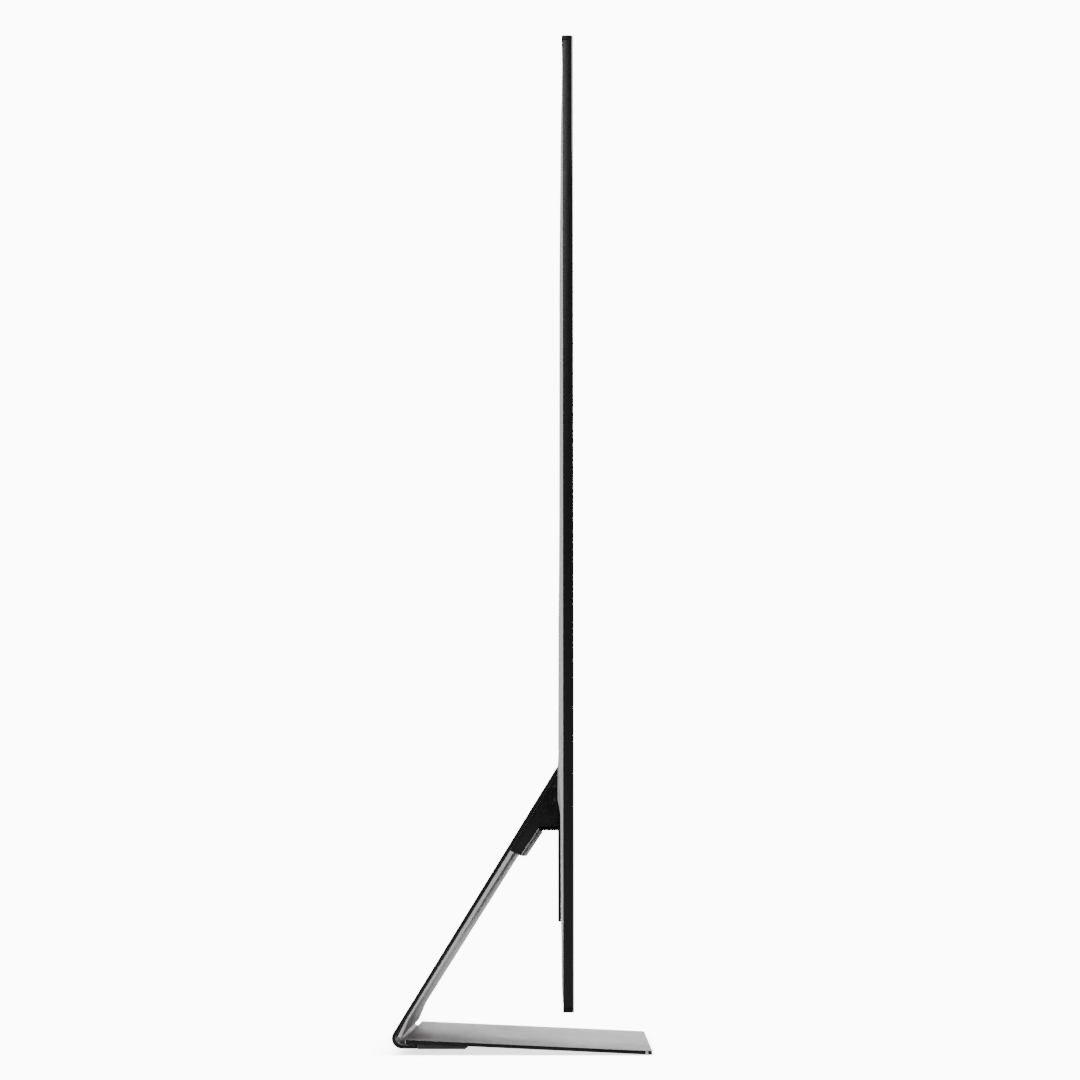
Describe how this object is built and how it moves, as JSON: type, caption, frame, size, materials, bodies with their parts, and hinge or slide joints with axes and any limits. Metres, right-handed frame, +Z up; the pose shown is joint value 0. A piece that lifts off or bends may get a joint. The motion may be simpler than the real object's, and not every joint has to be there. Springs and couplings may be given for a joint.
{
  "type": "flat touch display on a table stand",
  "caption": "Very slim large flat touch display on a bent-plate stand: a wedge-shaped neck, a leaning leg and a flat foot plate, with sockets under the neck.",
  "frame": {"origin": "on the floor, under the middle of the object's bounding box", "axes": "+X is on the right of someone facing the screen from the front; -Y is the side that the screen faces; +Z is up"},
  "size_m": [1.44, 0.2612, 0.8947],
  "materials": {
    "screen_glass": "black-backed polished cover glass",
    "sensor_film": "clear sensor film on black",
    "cell_dark": "dark polarised display cell",
    "optical_white": "white optical sheet",
    "chassis_sheet": "plain rolled aluminium sheet",
    "frame_black": "satin black anodised rail",
    "cover_grey": "satin grey painted aluminium sheet",
    "screw_black": "black zinc screw",
    "bright_steel": "nickel plated steel",
    "board_green": "green solder mask",
    "ribbon_white": "flat lead, white",
    "moulded_black": "fine-textured black moulding",
    "button_black": "satin black moulding",
    "sensor_lens": "dark smoked red lens",
    "stand_plate": "satin warm grey faces with black edges",
    "stand_satin": "satin warm grey",
    "neck_black": "gloss black",
    "rubber_black": "soft black rubber",
    "rocker_black": "gloss black rocker"
  },
  "bodies": {
    "display_and_stand": {"backlight_panel": "optical_white", "base_plate": "stand_plate", "base_screws": "screw_black", "board_standoffs": "bright_steel", "bottom_rail": "frame_black", "button_switch": "board_green", "chassis_plate": "chassis_sheet", "connector_board": "board_green", "corner_brackets": "chassis_sheet", "cover_screws": "screw_black", "diffuser_sheet": "optical_white", "display_cell": "cell_dark", "foot_block": "neck_black", "front_glass": "screen_glass", "front_pads": "rubber_black", "hanger_plate": "frame_black", "hanger_screws": "screw_black", "hdmi_sockets": "bright_steel", "heat_spreader": "bright_steel", "inlet_pins": "bright_steel", "left_rail": "frame_black", "left_speaker": "moulded_black", "leg_cover": "stand_satin", "leg_plate": "stand_plate", "link_cables": "ribbon_white", "main_board": "board_green", "neck_shell": "neck_black", "neck_side_screws": "screw_black", "neck_trim": "stand_satin", "power_board": "board_green", "power_inlet": "moulded_black", "power_plate": "frame_black", "rear_cover": "cover_grey", "rear_pads": "rubber_black", "ribbon_cables": "ribbon_white", "right_rail": "frame_black", "right_speaker": "moulded_black", "sensor_board": "board_green", "sensor_window": "sensor_lens", "socket_plate": "frame_black", "switch_frame": "moulded_black", "timing_board": "board_green", "top_rail": "frame_black", "touch_sensor": "sensor_film", "usb_sockets": "bright_steel", "usb_tongues": "moulded_black", "vesa_inserts": "bright_steel"},
    "power_button": {"power_button": "button_black"},
    "main_switch": {"main_switch": "rocker_black"}
  },
  "joints": [
    {"name": "power_button_press", "type": "slide", "parent": "display_and_stand", "child": "power_button", "axis": [0, 0, 1], "range_m": [0, 0.0008], "stiffness_N_per_m": 600},
    {"name": "main_switch_rock", "type": "hinge", "parent": "display_and_stand", "child": "main_switch", "pos_m": [-0.052, -0.0273, 0.2328], "axis": [0, 1, 0], "range_deg": [-14, 0]}
  ]
}
